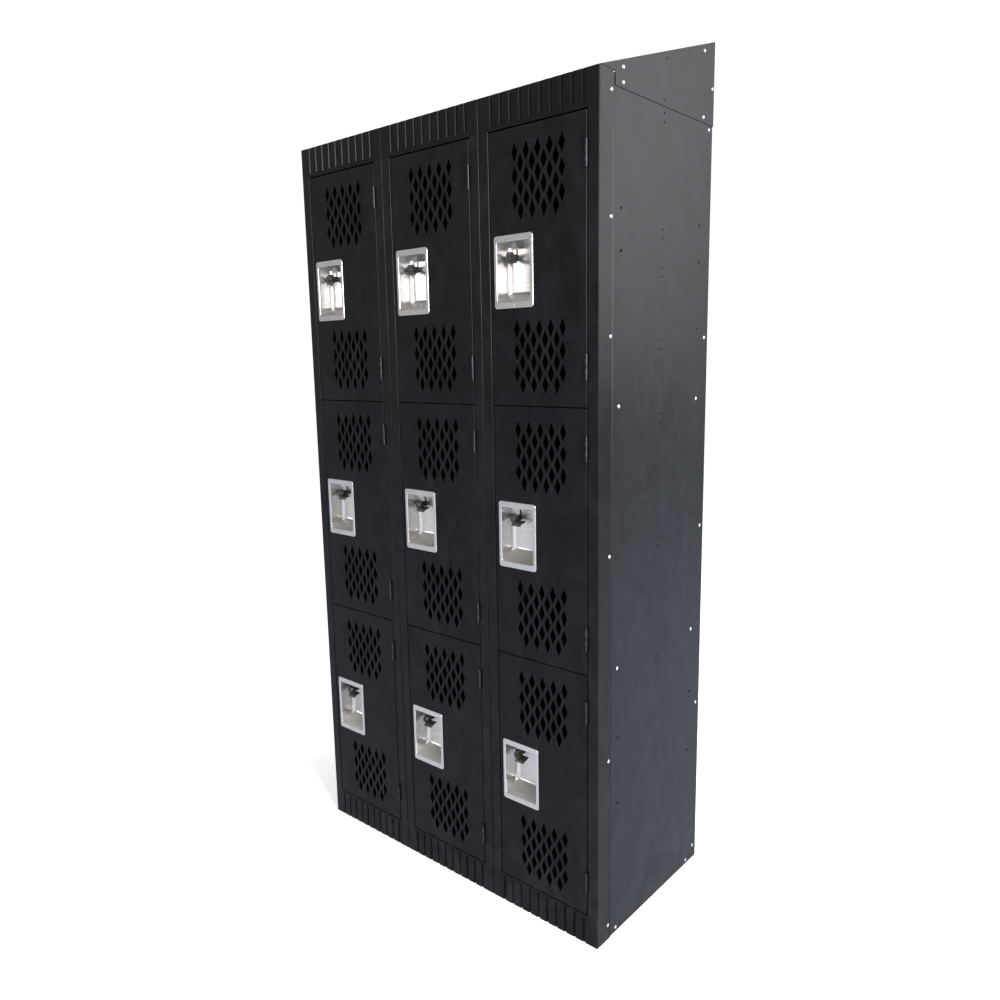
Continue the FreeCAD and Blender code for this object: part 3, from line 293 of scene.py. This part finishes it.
def rubber(name):
    """Matte black rubber with a fine grain."""
    shader = Shader(name)
    grain = shader.noise(shader.place, scale=500.0, detail=3.0, roughness=0.6)
    tone = shader.mix(shader.ramp(grain, between=(0.3, 0.7)), *RUBBER_BLACK)
    gloss = shader.ramp(grain, between=(0.3, 0.7), gives=(0.72, 0.88))
    return shader.complete(tone, gloss, shader.bump(grain, RUBBER_GRAIN_HEIGHT))


# ---------------------------------------------------------------- materials by slot
MATERIALS = {
    "door_paint": powder_coat(
        "door_paint_powder",
        DOOR_COAT,
        roughness=0.38,
        specular=0.105,
        steel_ahead_of=FACE_Y - KNUCKLE_CLEARANCE,
    ),
    "frame_paint": powder_coat("frame_paint_powder", DOOR_COAT, roughness=0.31, specular=0.125),
    # Same paint as the doors, with paler tones as painted light on the side sheets.
    "cabinet_paint": powder_coat("cabinet_paint_powder_painted_paler", CABINET_COAT_PAINTED_PALER, roughness=0.38, specular=0.17),
    "cup_steel": brushed_steel("cup_steel_brushed"),
    "black_hardware": black_hardware("black_hardware_satin"),
    "rivet_steel": plated("rivet_steel_bright", BRIGHT_RIVET, roughness=0.26),
    "hinge_paint": plated("hinge_paint_worn", WORN_STEEL, roughness=0.40),
    "hook_steel": plated("hook_steel_zinc", ZINC, roughness=0.34),
    "silencer_rubber": rubber("silencer_rubber_matte"),
}

slot_of = {part["node"]: part["material_slot"] for part in frame["record"]["subparts"]}
for node, piece in frame["nodes"].items():
    for material_slot in piece.material_slots:
        material_slot.material = MATERIALS[slot_of[node]]


# ---------------------------------------------------------------- studio
FLOOR_REACH = 14.0
FLOOR_DROP = 0.0005
FLOOR_WHITE = ((0.95, 0.95, 0.95), (0.98, 0.98, 0.98))
MIRRORED_FLOOR = (0.55, 0.585, 0.68)
ROOM_STRENGTH = 1.08
MIRRORED_ROOM_STRENGTH = 0.55
FRONT_MIDDLE = (0.0, -0.2, 1.0)


def floor_material():
    """White studio floor that, like the room, is dimmer where a glossy surface mirrors it."""
    shader = Shader("studio_floor")
    grain = shader.noise(shader.place, scale=40.0, detail=3.0, roughness=0.5)
    white = shader.mix(shader.ramp(grain, between=(0.3, 0.7)), *FLOOR_WHITE)
    mirrored = shader.nodes.new("ShaderNodeLightPath").outputs["Is Glossy Ray"]
    return shader.complete(shader.mix(mirrored, white, MIRRORED_FLOOR), roughness=0.9, specular=0.1)


def make_floor():
    """One square sheet, a hair below the foot of the bank."""
    signs = ((-1, -1), (1, -1), (1, 1), (-1, 1))
    corners = [(x * FLOOR_REACH, y * FLOOR_REACH, -FLOOR_DROP) for x, y in signs]
    mesh = bpy.data.meshes.new("studio_floor")
    mesh.from_pydata(corners, [], [(0, 1, 2, 3)])
    mesh.materials.append(floor_material())
    floor = bpy.data.objects.new("studio_floor", mesh)
    bpy.context.scene.collection.objects.link(floor)


def make_world():
    """White room that is dimmer where a glossy surface mirrors it."""
    world = bpy.data.worlds.new("studio")
    bpy.context.scene.world = world
    world.use_nodes = True
    nodes = world.node_tree.nodes
    links = world.node_tree.links
    background = nodes["Background"]
    background.inputs["Color"].default_value = (1.0, 1.0, 1.0, 1.0)
    dimming = nodes.new("ShaderNodeMapRange")
    dimming.inputs["To Min"].default_value = ROOM_STRENGTH
    dimming.inputs["To Max"].default_value = MIRRORED_ROOM_STRENGTH
    links.new(nodes.new("ShaderNodeLightPath").outputs["Is Glossy Ray"], dimming.inputs["Value"])
    links.new(dimming.outputs["Result"], background.inputs["Strength"])


def area_light(name, place, target, size, power, colour):
    """Rectangular light of the given width and height, aimed at a target."""
    data = bpy.data.lights.new(name, "AREA")
    data.shape = "RECTANGLE"
    data.size, data.size_y = size
    data.energy = power
    data.color = colour
    light = bpy.data.objects.new(name, data)
    light.location = place
    light.rotation_euler = (Vector(target) - Vector(place)).to_track_quat("-Z", "Y").to_euler()
    bpy.context.scene.collection.objects.link(light)


make_floor()
make_world()
area_light(
    "softbox_side",
    place=(3.3, 3.0, 2.6),
    target=(0.4, 0.0, 1.2),
    size=(2.2, 2.8),
    power=100.0,
    colour=(0.96, 0.98, 1.0),
)
area_light(
    "key_front_right",
    place=(4.15, -1.75, 2.0),
    target=FRONT_MIDDLE,
    size=(0.8, 1.6),
    power=290.0,
    colour=(1.0, 0.99, 0.97),
)
area_light(
    "fill_front",
    place=(2.75, -3.2, 2.1),
    target=FRONT_MIDDLE,
    size=(1.2, 1.4),
    power=70.0,
    colour=(1.0, 0.985, 0.965),
)
bpy.context.scene.view_settings.view_transform = "Standard"
